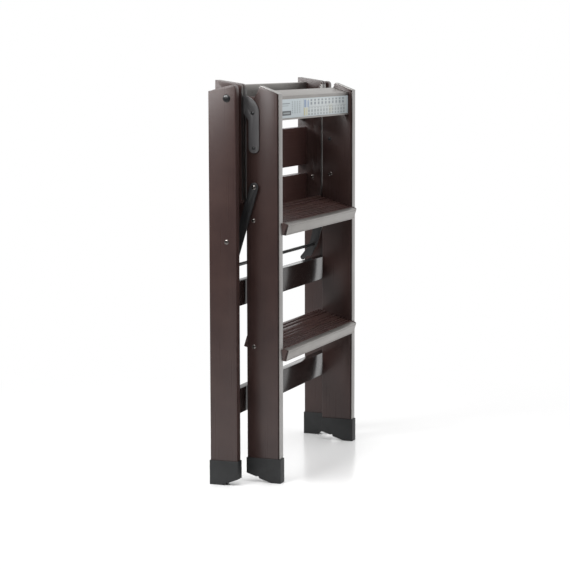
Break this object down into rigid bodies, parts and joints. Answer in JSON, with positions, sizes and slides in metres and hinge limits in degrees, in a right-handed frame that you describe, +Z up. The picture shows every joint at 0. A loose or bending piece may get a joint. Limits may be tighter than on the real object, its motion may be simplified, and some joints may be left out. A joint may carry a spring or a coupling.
{
  "type": "folding step ladder",
  "caption": "Folding step ladder stored folded: grooved treads between hollow rails, a wider rear frame, a fold-down slatted platform, jointed side stays and rubber boots.",
  "frame": {"origin": "centre of the bounding box on the floor, z = 0 under the feet", "axes": "+X across the width, -Y is the front with the nosings, +Z up"},
  "size_m": [0.63, 0.1585, 0.889],
  "materials": {
    "rail_brown": "satin dark brown coat",
    "crossbar_brown": "glossy dark brown coat",
    "tread_brown": "satin dark brown coat, grooved",
    "edge_aluminium": "satin",
    "nosing_aluminium": "satin",
    "cap_plastic": "matt",
    "label": "printed sheet with a plain chart",
    "black_metal": "satin black",
    "fastener_steel": "satin",
    "boot_rubber": "matt"
  },
  "bodies": {
    "front_frame": {"front_rail_left": "rail_brown", "front_rail_right": "rail_brown", "edge_strip_left": "edge_aluminium", "edge_strip_right": "edge_aluminium", "upper_tread": "tread_brown", "lower_tread": "tread_brown", "upper_nosing": "nosing_aluminium", "lower_nosing": "nosing_aluminium", "upper_cap_left": "cap_plastic", "upper_cap_right": "cap_plastic", "lower_cap_left": "cap_plastic", "lower_cap_right": "cap_plastic", "tread_screws": "fastener_steel", "header_bar": "nosing_aluminium", "label_plate": "label", "hinge_plate_left": "black_metal", "hinge_plate_right": "black_metal", "hinge_rivets": "black_metal", "arm_pins": "fastener_steel", "front_boot_left": "boot_rubber", "front_boot_right": "boot_rubber"},
    "rear_frame": {"rear_rail_left": "rail_brown", "rear_rail_right": "rail_brown", "upper_crossbar": "crossbar_brown", "lower_crossbar": "crossbar_brown", "crossbar_rivets": "fastener_steel", "rear_boot_left": "boot_rubber", "rear_boot_right": "boot_rubber", "hinge_pin_left": "black_metal", "hinge_pin_right": "black_metal", "link_pins": "fastener_steel", "stop_studs": "black_metal"},
    "platform": {"platform_plate_left": "rail_brown", "platform_plate_right": "rail_brown", "platform_strip_left": "edge_aluminium", "platform_strip_right": "edge_aluminium", "platform_nosing": "nosing_aluminium", "slat_front": "tread_brown", "slat_middle": "tread_brown", "slat_rear": "tread_brown", "platform_rivets": "fastener_steel", "platform_lugs": "black_metal"},
    "stay_arms": {"stay_arm_left": "black_metal", "stay_arm_right": "black_metal", "stay_rod": "black_metal"},
    "stay_links": {"stay_link_left": "black_metal", "stay_link_right": "black_metal"}
  },
  "joints": [
    {"name": "main_fold", "type": "hinge", "parent": "front_frame", "child": "rear_frame", "pos_m": [0, 0.0341, 0.85], "axis": [1, 0, 0], "range_deg": [0, 38]},
    {"name": "platform_fold", "type": "hinge", "parent": "front_frame", "child": "platform", "pos_m": [0, 0.0341, 0.85], "axis": [1, 0, 0], "range_deg": [0, 107.1]},
    {"name": "arm_fold", "type": "hinge", "parent": "front_frame", "child": "stay_arms", "pos_m": [0, -0.0096, 0.656], "axis": [1, 0, 0], "range_deg": [0, 58.76]},
    {"name": "link_fold", "type": "hinge", "parent": "rear_frame", "child": "stay_links", "pos_m": [0, 0.036, 0.5392], "axis": [1, 0, 0], "range_deg": [-139.89, 0]}
  ],
  "couplings": [
    {"joint": "platform_fold", "follows": "main_fold", "ratio": 2.8158},
    {"joint": "arm_fold", "follows": "main_fold", "ratio": 1.5385},
    {"joint": "link_fold", "follows": "main_fold", "ratio": -3.6682}
  ]
}
